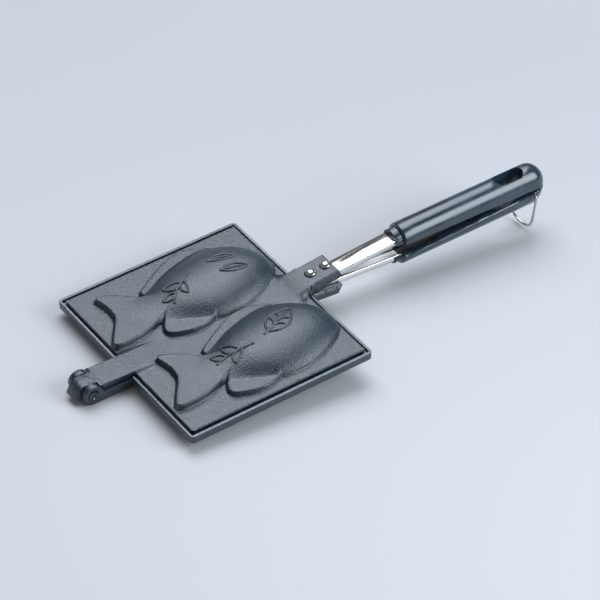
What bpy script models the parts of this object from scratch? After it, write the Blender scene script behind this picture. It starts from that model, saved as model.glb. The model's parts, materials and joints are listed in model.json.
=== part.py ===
import math

import bmesh
import bpy
import numpy as np
from mathutils import Matrix, Vector

# Every length is in metres.
# X runs from the hinge to the handle, Y across the plates, Z up.
# Heights are measured from the parting plane, where the two halves meet,
# and the finished pan is lifted at the end so that its lowest point lies at zero.

# Fits
parting_gap = 0.0003        # free space between the two closed halves
seat_gap = 0.0003           # free space between a piece and what it sits on
hole_clearance = 0.00025    # added to a radius or half width that passes through a hole
overrun = 0.002             # how far a cutter runs past what it cuts
merge_distance = 0.000001   # points closer than this are one point

# Lower plate
plate_length = 0.136
plate_width = 0.155
plate_corner = 0.003
plate_depth = 0.0038        # underside below the parting plane
plate_edge_round = 0.0006
rim_rise = 0.0015
rim_wall = 0.0019
rim_edge_round = 0.0003

# Upper plate, which nests inside the rim
nest_end_gap = 0.0012
nest_side_gap = 0.0023
nest_corner = 0.002
upper_thickness = 0.0024
upper_edge_round = 0.0004

# Fish, in both plates, side by side with their heads to the handle
fish_nose_gap = 0.0037      # from the plate's end to a nose
fish_tail_gap = 0.0033      # from the plate's other end to a tail
fish_side_gap = 0.0075      # from the plate's side to a fish
far_fish_shift = (-0.0008, -0.0001)     # how far each fish stands off its even place along X and Y
near_fish_shift = (0.0012, 0.0014)
dome_height = 0.0128        # above the upper plate's outer face
lower_dome_extra = 0.001    # the lower half is cast thicker
tail_height = 0.0042
belly_fin_height = 0.0033
back_fin_height = 0.0030
fin_draft = 0.0010          # how much a fin's foot is wider than its top, on each side
cast_wall = 0.0029
cavity_inset = 0.0014
least_half_share = 0.3      # of its half width that an inset section keeps at the nose
cavity_draft = 0.0012
body_root = 0.0008          # depths at which the raised shapes start inside the plate
tail_root = 0.0010
belly_root = 0.0012
back_root = 0.0014
dome_fullness = 1.25
body_steps = 2
arc_steps = 14
sharpest_corner_share = 0.5
kept_share = 0.97
longest_loop = 12           # points
outline_steps = 3
corner_steps = 6
hollow_depth_shares = (1.0, 1.1, 1.2)   # of the overrun, so that no two cutters share a face

# Shares of the fish's length from the tail end, of its width, and of the dome's height:
# place, far side, near side, height
body_shares = (
    (0.238, 0.140, -0.190, 0.215),
    (0.285, 0.165, -0.225, 0.345),
    (0.370, 0.205, -0.305, 0.560),
    (0.470, 0.290, -0.400, 0.800),
    (0.565, 0.350, -0.465, 0.920),
    (0.688, 0.395, -0.472, 1.000),
    (0.773, 0.385, -0.440, 0.985),
    (0.850, 0.330, -0.386, 0.890),
    (0.912, 0.252, -0.323, 0.715),
    (0.955, 0.172, -0.264, 0.500),
    (0.984, 0.078, -0.186, 0.270),
    (1.000, -0.030, -0.080, 0.030),
)
# Outlines as shares of the fish's length and width. Each run is smooth, and runs meet in a corner.
tail_share_runs = (
    ((0.420, 0.030), (0.295, 0.157), (0.226, 0.274), (0.158, 0.349), (0.130, 0.366), (0.117, 0.351)),
    ((0.117, 0.351), (0.133, 0.200), (0.130, 0.071), (0.110, -0.007), (0.060, -0.129), (0.017, -0.240)),
    ((0.017, -0.240), (0.029, -0.284), (0.091, -0.291), (0.168, -0.281), (0.246, -0.240), (0.292, -0.204),
     (0.420, -0.120)),
)
belly_share_runs = (
    ((0.360, -0.150), (0.298, -0.279)),
    ((0.298, -0.279), (0.281, -0.355), (0.302, -0.417), (0.385, -0.474), (0.463, -0.486), (0.525, -0.451)),
    ((0.525, -0.451), (0.560, -0.380), (0.540, -0.200)),
)
back_share_runs = (
    ((0.340, 0.060), (0.331, 0.190)),
    ((0.331, 0.190), (0.343, 0.230), (0.440, 0.337), (0.540, 0.434), (0.610, 0.474), (0.675, 0.476),
     (0.742, 0.428), (0.796, 0.343), (0.700, 0.150)),
)

# Tongue that carries the handle, alike on both halves
tongue_reach = 0.0252       # past the lower plate's edge, at the parting side
tongue_slant = 0.0031       # how much shorter its outer face is
tongue_half_width = 0.0095
tongue_root_top = 0.0078
tongue_tip_top = 0.0101
tongue_root_gap = 0.00045
tongue_tip_gap = 0.0035
tongue_edge = 0.0006
ramp_length = 0.024
ramp_flare = 0.0145
# Shares of the ramp's length, of its rise, of its flare at the top and of its flare at the foot
ramp_shares = (
    (0.000, -0.060, 0.240, 1.000),
    (0.250, 0.100, 0.150, 0.790),
    (0.500, 0.400, 0.080, 0.520),
    (0.710, 0.690, 0.050, 0.280),
    (0.870, 0.880, 0.050, 0.160),
    (1.000, 1.000, 0.030, 0.080),
)
ramp_foot_share = 0.8       # of the ramp's length, up to which its foot lies inside the plate
tongue_shares = (0.14, 0.45, 1.0)
gate_flare_share = 0.18     # of the ramp's flare, where the tongue passes through the rim

# Hinge
pin_reach = 0.0272          # from the plate's end to the pin
pin_z = -0.0005
pin_radius = 0.0026
pin_head_radius = 0.0039
pin_head_height = 0.0008
pin_hollow_radius = 0.0018
pin_hollow_depth = 0.0010
# Shares of the hollow's radius, the head's radius and the head's height, for its rounded edges
pin_floor_share = 0.8
pin_lip_shares = (1.2, 0.1)
pin_crown_shares = (0.8, 0.15)
pin_skirt_share = 0.6
ear_radius = 0.0068
ear_half_span = 0.0099      # outer faces of the two ears
ear_thickness = 0.0046
ear_running_gap = 0.0008    # between an ear's round and the tongue above it
arm_root = 0.012            # how far the hinge arms begin inside the plate's end
arm_root_depth = 0.0065     # underside of the lower arm at the plate's edge
arm_start_share = 0.8       # of the plate's depth, where the arm's underside begins
ear_turn = 265              # where the underside of the arm runs into the ear's round, in degrees
hinge_tongue_half_width = 0.0092
hinge_tongue_root_top = 0.0044
hinge_tongue_tip_top = 0.0051
hinge_ramp_length = 0.024
hinge_ramp_middle = 0.0104  # from the plate's end
heel_gap_steps = 4          # end gaps between the tongue's heel and the plate's edge
lug_gap = 0.0004
lug_radius = 0.0064
fork_depth = 0.0100         # from the pin to the bottom of the fork
# Outline of the lug and its heel, as shares of the ear radius, seen from the pin
lug_shares = (
    (1.30, 0.760), (0.00, 0.930), (-0.55, 0.940), (-1.00, 0.780), (-1.36, 0.320), (-1.64, -0.270),
    (-0.95, -0.480), (-0.62, -0.640),
)
lug_bottom_turn = 228       # the round under the lug starts and ends here, in degrees
lug_end_turn = 375
lug_smooth_points = 5
lug_steps = 4
hinge_arc_steps = (8, 12, 40)
round_segments = 32

# Straps: folded channels that run from the tongues into the grips
strap_front_gap = 0.0012    # from the plate's end to the strap
strap_bend_reach = 0.075    # from the plate's end to its bend, where the grip begins
strap_end_gap = 0.0105      # from the strap's end to the grip's slot
strap_front_top = 0.0035
strap_bend_top = 0.0088
strap_half_width = 0.0061
strap_rear_half_width = 0.0055
strap_gauge = 0.0012
strap_edge_round = 0.0005
strap_sharp_angle = math.radians(60)
flange_front_gap = 0.0006   # flange edge above the parting plane as far as the tongue's end
flange_bend_gap = 0.0048
flange_past_bend = 0.007
flange_run_out = 0.002

# Rivets through tongue and strap
rivet_reach = 0.0063        # from the plate's end to the first rivet
rivet_pitch = 0.0116
rivet_radius = 0.0022
rivet_head_radius = 0.0040
rivet_head_height = 0.0021
rivet_tail_radius = 0.0033
rivet_tail_height = 0.0011
rivet_tail_shares = (0.6, 0.7)      # where its edge is chamfered: of its height and of its radius
dome_steps = 4
rivet_segments = 20

# Grips
grip_length = 0.1194
grip_half_width = 0.0104
grip_half_height = 0.0151
grip_squareness = 2.3
grip_front_gap = 0.0042     # inner face above the parting plane at the front
grip_rear_gap = 0.0005
grip_edge = 0.0010
grip_nose_round = 0.0016
grip_tail_round = 0.0120
neck_length = 0.005
neck_half_width = 0.0086
neck_half_height = 0.0127
neck_setback = 0.0003       # the neck's inner face lies back from the grip's
grip_arc_steps = 22
grip_edge_share = 0.5       # most of the half width that the edge chamfer may take
widest_start_share = 0.9
nose_turns = (0, 35, 65, 90)
tail_turns = (20, 38, 54, 67, 77)
straight_stations = 4
slot_end_gap = 0.0169       # from the grip's end to the slot
slot_length = 0.023
slot_half_width = 0.0059
slot_round_share = 0.999    # of the half width, so that its ends keep a short flat
slot_steps = 10
groove_end_gap = 0.001

# Screws that hold the grips on the straps
screw_slot_gap = 0.019      # from the screw to the slot
screw_radius = 0.0015
screw_head_radius = 0.0030
screw_head_height = 0.0015
screw_bite = 0.0038
screw_hole_spare = 0.0006
screw_head_shares = (0.8, 0.3)      # rounded edge of the head: of its radius and of its height
screw_segments = 16
bore_segments = 24

# Latch wire
latch_end_gap = 0.0124      # from the grip's end to the latch's holes
latch_z = -0.0030
latch_wire_radius = 0.0009
latch_reach = 0.0283        # from its pivot to the lowest point of its loop
latch_half_span = 0.0122
latch_loop_half_span = 0.0105
latch_hold = 0.0042         # how deep each end sits in the grip
latch_hole_spare = 0.0006
latch_shoulder = 0.0022     # bend at each end, and bend at each side of the loop
latch_loop_bend = 0.0098
latch_bend_steps = 8

# Standing
steepest_lean = math.radians(15)
lean_steps = 40

# Places that follow from these sizes
plate_end = plate_length / 2
fish_length = plate_length - fish_nose_gap - fish_tail_gap
fish_width = plate_width / 2 - fish_side_gap
fish_nose_x = plate_end - fish_nose_gap
far_fish = (far_fish_shift[0], fish_width / 2 + far_fish_shift[1])
near_fish = (near_fish_shift[0], near_fish_shift[1] - fish_width / 2)
tongue_end = plate_end + tongue_reach
pin_x = -plate_end - pin_reach
strap_front = plate_end + strap_front_gap
strap_bend = plate_end + strap_bend_reach
flange_end = strap_bend + flange_past_bend
rivet_near_x = plate_end + rivet_reach
rivet_far_x = rivet_near_x + rivet_pitch
grip_front = strap_bend
grip_rear = grip_front + grip_length
slot_rear = grip_rear - slot_end_gap
slot_front = slot_rear - slot_length
strap_end = slot_front - strap_end_gap
screw_x = slot_front - screw_slot_gap
latch_x = grip_rear - latch_end_gap


def tidy_scene():
    for obj in list(bpy.data.objects):
        bpy.data.objects.remove(obj, do_unlink=True)
    for name in ("pan", "pan_cutters"):
        group = bpy.data.collections.new(name)
        bpy.context.scene.collection.children.link(group)
    bpy.data.collections["pan_cutters"].hide_render = True


def make_material(name, colour, roughness, metallic):
    material = bpy.data.materials.new(name)
    material.use_nodes = True
    shader = material.node_tree.nodes["Principled BSDF"]
    shader.inputs["Base Color"].default_value = (*colour, 1)
    shader.inputs["Roughness"].default_value = roughness
    shader.inputs["Metallic"].default_value = metallic
    return material


def object_from(name, bm, group="pan_cutters"):
    bmesh.ops.remove_doubles(bm, verts=bm.verts, dist=merge_distance)
    bmesh.ops.recalc_face_normals(bm, faces=bm.faces)
    if bm.calc_volume(signed=True) < 0:
        bmesh.ops.reverse_faces(bm, faces=bm.faces)
    mesh = bpy.data.meshes.new(name)
    bm.to_mesh(mesh)
    bm.free()
    obj = bpy.data.objects.new(name, mesh)
    bpy.data.collections[group].objects.link(obj)
    if group == "pan_cutters":
        obj.hide_render = True
        obj.display_type = "WIRE"
    return obj


# A loft through closed rings that all have the same number of points
def loft(name, rings):
    bm = bmesh.new()
    loops = [[bm.verts.new(point) for point in ring] for ring in rings]
    for first, second in zip(loops, loops[1:]):
        for i in range(len(first)):
            j = (i + 1) % len(first)
            bm.faces.new((first[i], first[j], second[j], second[i]))
    bm.faces.new(loops[0][::-1])
    bm.faces.new(loops[-1])
    return object_from(name, bm)


# An outline in the X Z plane, extruded evenly to both sides of the middle
def side_prism(name, outline, half_width):
    return loft(name, [[(x, side * half_width, z) for x, z in outline] for side in (-1, 1)])


# An outline in the X Y plane, lifted through levels of (height, growth)
def stacked_slab(name, outline, levels):
    rings = [[(x, y, height) for x, y in grown(outline, growth)] for height, growth in levels]
    return loft(name, rings)


# The outline moved outwards by a distance, each point along the mean of its two edge normals
def grown(outline, distance):
    points = np.array(outline, float)
    normals = []
    for edge in (points - np.roll(points, 1, axis=0), np.roll(points, -1, axis=0) - points):
        edge = edge / np.linalg.norm(edge, axis=1)[:, None]
        normals.append(np.stack([edge[:, 1], -edge[:, 0]], axis=1))
    following = np.roll(points, -1, axis=0)
    area = np.sum(points[:, 0] * following[:, 1] - following[:, 0] * points[:, 1])
    middle = normals[0] + normals[1]
    middle /= np.maximum(np.sum(middle * normals[0], axis=1), sharpest_corner_share)[:, None]
    return points + math.copysign(distance, area * distance) * middle


# The outline moved inwards, without the points that would cross over at a narrow end
def shrunk(outline, distance):
    starts = np.array(outline, float)
    edges = np.roll(starts, -1, axis=0) - starts
    kept = []
    for point in grown(outline, -distance):
        along = np.clip(np.sum((point - starts) * edges, axis=1) / np.sum(edges ** 2, axis=1), 0, 1)
        nearest = np.min(np.linalg.norm(starts + along[:, None] * edges - point, axis=1))
        if nearest > distance * kept_share:
            kept.append(point)
    return without_loops(kept)


# Where two edges cross each other, or nothing
def crossing(a, b, c, d):
    first, second, between = b - a, d - c, c - a
    spread = first[0] * second[1] - first[1] * second[0]
    if spread == 0:
        return None
    along_first = (between[0] * second[1] - between[1] * second[0]) / spread
    along_second = (between[0] * first[1] - between[1] * first[0]) / spread
    if 0 < along_first < 1 and 0 < along_second < 1:
        return a + first * along_first
    return None


# The outline with each small loop cut off at its crossing
def without_loops(points):
    points = list(points)
    i = 0
    while i < len(points) - 1:
        for j in range(i + 2, min(i + longest_loop, len(points) - 1)):
            corner = crossing(points[i], points[i + 1], points[j], points[j + 1])
            if corner is not None:
                points[i + 1:j + 1] = [corner]
                break
        i += 1
    return np.array(points)


# The outline drawn in towards its middle, its furthest point by the distance
def tapered(outline, distance):
    middle = np.mean(outline, axis=0)
    reach = np.max(np.linalg.norm(outline - middle, axis=1))
    return middle + (outline - middle) * (1 - distance / reach)


# Smooth points through rows of numbers
def smooth_rows(rows, steps):
    rows = np.array(rows, float)
    ends = np.vstack([2 * rows[0] - rows[1], rows, 2 * rows[-1] - rows[-2]])
    points = []
    for i in range(len(rows) - 1):
        a, b, c, d = ends[i:i + 4]
        for step in range(steps):
            t = step / steps
            points.append(0.5 * (2 * b + (c - a) * t + (2 * a - 5 * b + 4 * c - d) * t * t
                                 + (3 * b - a - 3 * c + d) * t ** 3))
    points.append(rows[-1])
    return np.array(points)


def outline_from(runs, steps):
    points = []
    for run in runs:
        smooth = smooth_rows(run, steps) if len(run) > 2 else np.array(run, float)
        points.extend(smooth[:-1])
    points.append(np.array(runs[-1][-1]))
    return np.array(points)


def rounded_rectangle(half_x, half_y, corner, steps=corner_steps):
    points = []
    for sign_x, sign_y, start in ((1, 1, 0), (-1, 1, 90), (-1, -1, 180), (1, -1, 270)):
        for step in range(steps + 1):
            turn = math.radians(start + 90 * step / steps)
            points.append((sign_x * (half_x - corner) + corner * math.cos(turn),
                           sign_y * (half_y - corner) + corner * math.sin(turn)))
    return points


def box(name, low, high):
    rings = [[(x, low[1], low[2]), (x, high[1], low[2]), (x, high[1], high[2]), (x, low[1], high[2])]
             for x in (low[0], high[0])]
    return loft(name, rings)


def cylinder(name, radius, start, end, segments=round_segments):
    start, end = Vector(start), Vector(end)
    turn = (end - start).to_track_quat("Z", "Y")
    rings = []
    for centre in (start, end):
        rings.append([centre + turn @ Vector((radius * math.cos(a), radius * math.sin(a), 0))
                      for a in np.linspace(0, 2 * math.pi, segments, endpoint=False)])
    return loft(name, rings)


# A turned piece: the profile (radius, height) is spun round the object's own Z axis
def turned(name, profile, segments=bore_segments):
    bm = bmesh.new()
    corners = [bm.verts.new((radius, 0, height)) for radius, height in profile]
    for first, second in zip(corners, corners[1:]):
        bm.edges.new((first, second))
    mesh = bpy.data.meshes.new(name)
    bm.to_mesh(mesh)
    bm.free()
    obj = bpy.data.objects.new(name, mesh)
    bpy.data.collections["pan_cutters"].objects.link(obj)
    obj.hide_render = True
    obj.display_type = "WIRE"
    spin = obj.modifiers.new("spin", "SCREW")
    spin.steps = spin.render_steps = segments
    spin.use_merge_vertices = True
    spin.merge_threshold = merge_distance
    spin.use_smooth_shade = False
    return obj


def combine(target, other, operation):
    step = target.modifiers.new(operation.lower(), "BOOLEAN")
    step.operation = operation
    step.solver = "EXACT"
    step.object = other


def settle(obj):
    bpy.context.view_layer.update()
    graph = bpy.context.evaluated_depsgraph_get()
    mesh = bpy.data.meshes.new_from_object(obj.evaluated_get(graph))
    obj.modifiers.clear()
    obj.data = mesh
    return obj


# The same shape seen from the other side of the parting plane
def mirrored(obj, name):
    bm = bmesh.new()
    bm.from_mesh(obj.data)
    bmesh.ops.scale(bm, vec=(1, 1, -1), verts=bm.verts)
    bmesh.ops.reverse_faces(bm, faces=bm.faces)
    return object_from(name, bm)


def finish(obj, name, material, origin=(0, 0, 0)):
    settle(obj)
    for group in list(obj.users_collection):
        group.objects.unlink(obj)
    bpy.data.collections["pan"].objects.link(obj)
    obj.hide_render = False
    obj.display_type = "TEXTURED"
    obj.name = name
    obj.data.name = name
    obj.data.transform(Matrix.Translation(-Vector(origin)))
    obj.location = origin
    obj.data.materials.clear()
    obj.data.materials.append(material)
    return obj


# Fish

upper_low = parting_gap / 2
upper_top = upper_low + upper_thickness


def fish_x(share, place):
    return place[0] + fish_nose_x - fish_length * (1 - share)


def fish_body(name, place, side_inset, low, base, rise):
    rings = []
    rows = smooth_rows(body_shares, body_steps)
    for share, far, near, height in rows:
        x = fish_x(share, place)
        far_y, near_y = far * fish_width, near * fish_width
        centre = place[1] + (far_y + near_y) / 2
        half = (far_y - near_y) / 2
        half = max(half - side_inset, half * least_half_share)
        ring = [(x, centre + half, low)]
        for step in range(arc_steps + 1):
            turn = math.pi * step / arc_steps
            lift = rise * height * max(math.sin(turn), 0) ** dome_fullness
            ring.append((x, centre + half * math.cos(turn), base + lift))
        ring.append((x, centre - half, low))
        rings.append(ring)
    if side_inset:
        nose = max(x for x, y, z in rings[-1])
        tail = min(x for x, y, z in rings[0])
        scale = (nose - side_inset - tail) / (nose - tail)
        rings = [[(tail + (x - tail) * scale, y, z) for x, y, z in ring] for ring in rings]
    return loft(name, rings)


def fish_outline(runs, place):
    points = outline_from(runs, outline_steps)
    return [(fish_x(u, place), place[1] + v * fish_width) for u, v in points]


def fish_solids(name, place, extra=0):
    raised = [fish_body(name + "_body", place, 0, body_root, upper_top, dome_height + extra)]
    for label, runs, height, root in (
        ("_tail", tail_share_runs, tail_height, tail_root),
        ("_belly_fin", belly_share_runs, belly_fin_height, belly_root),
        ("_back_fin", back_share_runs, back_fin_height, back_root),
    ):
        top = upper_top + height
        levels = ((root, fin_draft), (upper_top, fin_draft), (top - fin_draft / 3, fin_draft / 4), (top, 0))
        raised.append(stacked_slab(name + label, fish_outline(runs, place), levels))
    return raised


def fish_hollows(name, place):
    depth = upper_top + dome_height - cast_wall
    hollows = [fish_body(name + "_body_hollow", place, cavity_inset, -overrun, 0, depth)]
    for label, runs, height, depth_share in zip(
        ("_tail_hollow", "_belly_hollow", "_back_hollow"),
        (tail_share_runs, belly_share_runs, back_share_runs),
        (tail_height, belly_fin_height, back_fin_height),
        hollow_depth_shares,
    ):
        floor = upper_top + height - cast_wall
        mouth = shrunk(fish_outline(runs, place), cavity_inset)
        rings = [[(x, y, z) for x, y in tapered(mouth, draw)]
                 for z, draw in ((-overrun * depth_share, 0), (0, 0), (floor, cavity_draft))]
        hollows.append(loft(name + label, rings))
    return hollows


# Tongue and its ramp, the same on both halves


def tongue_solid(name):
    rings = []
    edge = tongue_edge

    def ring(x_low, x_high, low, top, half_top, half_foot):
        return [(x_low, -half_foot, low), (x_low, half_foot, low), (x_high, half_top, top - edge),
                (x_high, half_top - edge, top), (x_high, edge - half_top, top), (x_high, -half_top, top - edge)]

    start = plate_end - ramp_length
    for place, rise, flare_top, flare_foot in ramp_shares:
        x = start + place * ramp_length
        top = upper_top + rise * (tongue_root_top - upper_top)
        low = body_root if place < ramp_foot_share else tongue_root_gap
        rings.append(ring(x, x, low, top, tongue_half_width + flare_top * ramp_flare,
                          tongue_half_width + flare_foot * ramp_flare))
    for share in tongue_shares:
        x_low = plate_end + share * tongue_reach
        x_high = x_low - share * tongue_slant
        low = tongue_root_gap + share * (tongue_tip_gap - tongue_root_gap)
        top = tongue_root_top + share * (tongue_tip_top - tongue_root_top)
        rings.append(ring(x_low, x_high, low, top, tongue_half_width, tongue_half_width))
    return loft(name, rings)


def strap_top(x):
    if x >= strap_bend:
        return strap_bend_top
    slope = (strap_bend_top - strap_front_top) / (strap_bend - strap_front)
    return strap_front_top + (x - strap_front) * slope


def flange_edge(x):
    if x <= tongue_end:
        return flange_front_gap
    slope = (flange_bend_gap - flange_front_gap) / (strap_bend - tongue_end)
    return flange_front_gap + (x - tongue_end) * slope


def strap_groove(name, start, end, half_width):
    places = [start] + [x for x in (strap_bend,) if start < x < end] + [end]
    outline = [(x, strap_top(x) + seat_gap) for x in places] + [(end, -overrun), (start, -overrun)]
    return side_prism(name, outline, half_width)


# A point on the tongue's outer face, and the direction square to that face
tongue_lean = math.atan2(tongue_tip_top - tongue_root_top, tongue_reach - tongue_slant)


def tongue_face(x):
    share = (x - plate_end) / (tongue_reach - tongue_slant)
    return Vector((x, 0, tongue_root_top + share * (tongue_tip_top - tongue_root_top)))


def rivet_bore(name, x):
    face = tongue_face(x)
    axis = Vector((-math.sin(tongue_lean), 0, math.cos(tongue_lean)))
    reach = tongue_tip_top
    return cylinder(name, rivet_radius + hole_clearance, face - axis * reach, face + axis * reach)


# Hinge outlines

def arc(centre, radius, start, end, steps):
    return [(centre[0] + radius * math.cos(math.radians(a)), centre[1] + radius * math.sin(math.radians(a)))
            for a in np.linspace(start, end, steps)]


pin = (pin_x, pin_z)
ear_inner = ear_half_span - ear_thickness


def hinge_tongue_outline():
    sweep = ear_radius + ear_running_gap
    low = upper_low - pin_z
    first = math.degrees(math.asin(low / sweep))
    last = math.degrees(math.asin((hinge_tongue_tip_top - pin_z) / sweep))
    start = hinge_ramp_length - plate_end
    return ([(start, tail_root), (start, upper_top - upper_edge_round),
             (hinge_ramp_middle - plate_end, (upper_top + hinge_tongue_root_top) / 2),
             (-plate_end, hinge_tongue_root_top)]
            + arc(pin, sweep, last, first, hinge_arc_steps[0])
            + [(nest_end_gap - plate_end, upper_low + parting_gap / 2),
               (nest_end_gap * heel_gap_steps - plate_end, tail_root)])


def lug_outline():
    points = [(pin_x + u * ear_radius, pin_z + v * ear_radius) for u, v in lug_shares[:1]]
    curve = smooth_rows(lug_shares[1:lug_smooth_points + 1], lug_steps)
    points += [(pin_x + u * ear_radius, pin_z + v * ear_radius) for u, v in curve]
    points += [(pin_x + u * ear_radius, pin_z + v * ear_radius) for u, v in lug_shares[lug_smooth_points + 1:]]
    points += arc(pin, lug_radius, lug_bottom_turn, lug_end_turn, hinge_arc_steps[1])
    points.append((pin_x + lug_shares[0][0] * ear_radius, upper_low + parting_gap / 2))
    return points


def arm_outline():
    top = -parting_gap / 2
    first = math.degrees(math.asin((top - pin_z) / ear_radius))
    start = arm_root - plate_end
    return ([(start, -tail_root), (start, -plate_depth * arm_start_share), (-plate_end, -arm_root_depth)]
            + arc(pin, ear_radius, ear_turn, first, hinge_arc_steps[2])
            + [(-plate_end, top - parting_gap), (rim_wall * 2 - plate_end, -tail_root)])


def build_upper_plate(material):
    half_x = plate_end - rim_wall - nest_end_gap
    half_y = plate_width / 2 - rim_wall - nest_side_gap
    plate = stacked_slab("upper_slab", rounded_rectangle(half_x, half_y, nest_corner),
                         ((upper_low, 0), (upper_top - upper_edge_round, 0), (upper_top, -upper_edge_round)))
    for place in (far_fish, near_fish):
        for solid in fish_solids("upper_fish", place):
            combine(plate, solid, "UNION")
    combine(plate, tongue_solid("upper_tongue"), "UNION")
    combine(plate, side_prism("upper_hinge_tongue", hinge_tongue_outline(), hinge_tongue_half_width), "UNION")
    combine(plate, side_prism("lug", lug_outline(), ear_inner - lug_gap), "UNION")
    settle(plate)
    for place in (far_fish, near_fish):
        for hollow in fish_hollows("upper_fish", place):
            combine(plate, hollow, "DIFFERENCE")
    combine(plate, strap_groove("upper_groove", strap_front - seat_gap, tongue_end + overrun,
                                strap_half_width + hole_clearance), "DIFFERENCE")
    for x in (rivet_near_x, rivet_far_x):
        combine(plate, rivet_bore("upper_rivet_bore", x), "DIFFERENCE")
    combine(plate, cylinder("lug_bore", pin_radius + hole_clearance, (pin_x, -plate_width, pin_z),
                            (pin_x, plate_width, pin_z)), "DIFFERENCE")
    return finish(plate, "upper_plate", material, (pin_x, 0, pin_z))


def build_lower_plate(material):
    plate = stacked_slab(
        "lower_slab", rounded_rectangle(plate_end, plate_width / 2, plate_corner),
        ((-plate_depth, -plate_edge_round), (plate_edge_round - plate_depth, 0),
         (rim_rise - rim_edge_round, 0), (rim_rise, -rim_edge_round)))
    for place in (far_fish, near_fish):
        for solid in fish_solids("lower_fish", place, lower_dome_extra):
            combine(plate, mirrored(solid, "lower_fish"), "UNION")
    combine(plate, mirrored(tongue_solid("lower_tongue_shape"), "lower_tongue"), "UNION")
    combine(plate, side_prism("arm", arm_outline(), ear_half_span), "UNION")
    settle(plate)
    pocket = rounded_rectangle(plate_end - rim_wall, plate_width / 2 - rim_wall, nest_corner)
    combine(plate, stacked_slab("pocket", pocket, ((-parting_gap / 2, 0), (rim_rise + overrun, 0))),
            "DIFFERENCE")
    handle_way = tongue_half_width + ramp_flare * gate_flare_share
    combine(plate, box("handle_gate", (plate_end - rim_wall * 2, -handle_way, -parting_gap / 2),
                       (plate_end + rim_wall, handle_way, rim_rise + overrun)), "DIFFERENCE")
    hinge_way = hinge_tongue_half_width + ear_running_gap
    combine(plate, box("hinge_gate", (-plate_end - rim_wall, -hinge_way, -parting_gap / 2),
                       (-plate_end + rim_wall * 2, hinge_way, rim_rise + overrun)), "DIFFERENCE")
    for place in (far_fish, near_fish):
        for hollow in fish_hollows("lower_fish", place):
            combine(plate, mirrored(hollow, "lower_hollow"), "DIFFERENCE")
    groove = strap_groove("lower_groove_shape", strap_front - seat_gap, tongue_end + overrun,
                          strap_half_width + hole_clearance)
    combine(plate, mirrored(groove, "lower_groove"), "DIFFERENCE")
    for x in (rivet_near_x, rivet_far_x):
        combine(plate, mirrored(rivet_bore("lower_rivet_bore_shape", x), "lower_rivet_bore"), "DIFFERENCE")
    combine(plate, box("fork", (pin_x - ear_radius * 2, -ear_inner, pin_z - ear_radius * 2),
                       (pin_x + fork_depth, ear_inner, pin_z + ear_radius * 2)), "DIFFERENCE")
    combine(plate, cylinder("ear_bore", pin_radius + hole_clearance, (pin_x, -plate_width, pin_z),
                            (pin_x, plate_width, pin_z)), "DIFFERENCE")
    return finish(plate, "lower_plate", material)


def build_hinge_pin(material):
    seat = ear_half_span + seat_gap
    top = seat + pin_head_height
    lip_radius, lip_height = pin_lip_shares
    crown_radius, crown_height = pin_crown_shares
    profile = [(0, top - pin_hollow_depth), (pin_hollow_radius * pin_floor_share, top - pin_hollow_depth),
               (pin_hollow_radius, top - pin_head_height * lip_height), (pin_hollow_radius * lip_radius, top),
               (pin_head_radius * crown_radius, top - pin_head_height * crown_height),
               (pin_head_radius, top - pin_head_height * pin_skirt_share), (pin_head_radius, seat),
               (pin_radius, seat)]
    profile += [(radius, -height) for radius, height in reversed(profile)]
    body = turned("hinge_pin", profile)
    settle(body)
    body.data.transform(Matrix.Translation((pin_x, 0, pin_z)) @ Matrix.Rotation(math.pi / 2, 4, "X"))
    return finish(body, "hinge_pin", material, (pin_x, 0, pin_z))


def strap_shape(name):
    stations = [strap_front, tongue_end, strap_bend, flange_end]
    under = strap_bend_top - strap_gauge
    outer = [(x, strap_top(x)) for x in (strap_front, strap_bend, strap_end)]
    outer += [(strap_end, under), (flange_end + flange_run_out, under)]
    outer += [(x, flange_edge(min(x, strap_bend))) for x in reversed(stations)]
    strap = side_prism(name, outer, strap_half_width)
    inner = [(x, strap_top(x) - strap_gauge) for x in (strap_front, strap_bend, strap_end)]
    inner[0] = (strap_front - overrun, inner[0][1])
    inner[-1] = (flange_end + flange_run_out + overrun, under)
    inner += [(inner[-1][0], -overrun), (inner[0][0], -overrun)]
    combine(strap, side_prism(name + "_inside", inner, strap_half_width - strap_gauge), "DIFFERENCE")
    settle(strap)
    for corner in strap.data.vertices:
        share = (corner.co.x - strap_front) / (strap_end - strap_front)
        corner.co.y *= 1 + share * (strap_rear_half_width / strap_half_width - 1)
    rounding = strap.modifiers.new("edge", "BEVEL")
    rounding.width = strap_edge_round
    rounding.segments = 2
    rounding.limit_method = "ANGLE"
    rounding.angle_limit = strap_sharp_angle
    settle(strap)
    for x in (rivet_near_x, rivet_far_x):
        combine(strap, rivet_bore(name + "_rivet_bore", x), "DIFFERENCE")
    combine(strap, cylinder(name + "_screw_bore", screw_radius + hole_clearance, (screw_x, 0, 0),
                            (screw_x, 0, grip_half_height), bore_segments), "DIFFERENCE")
    return settle(strap)


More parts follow.
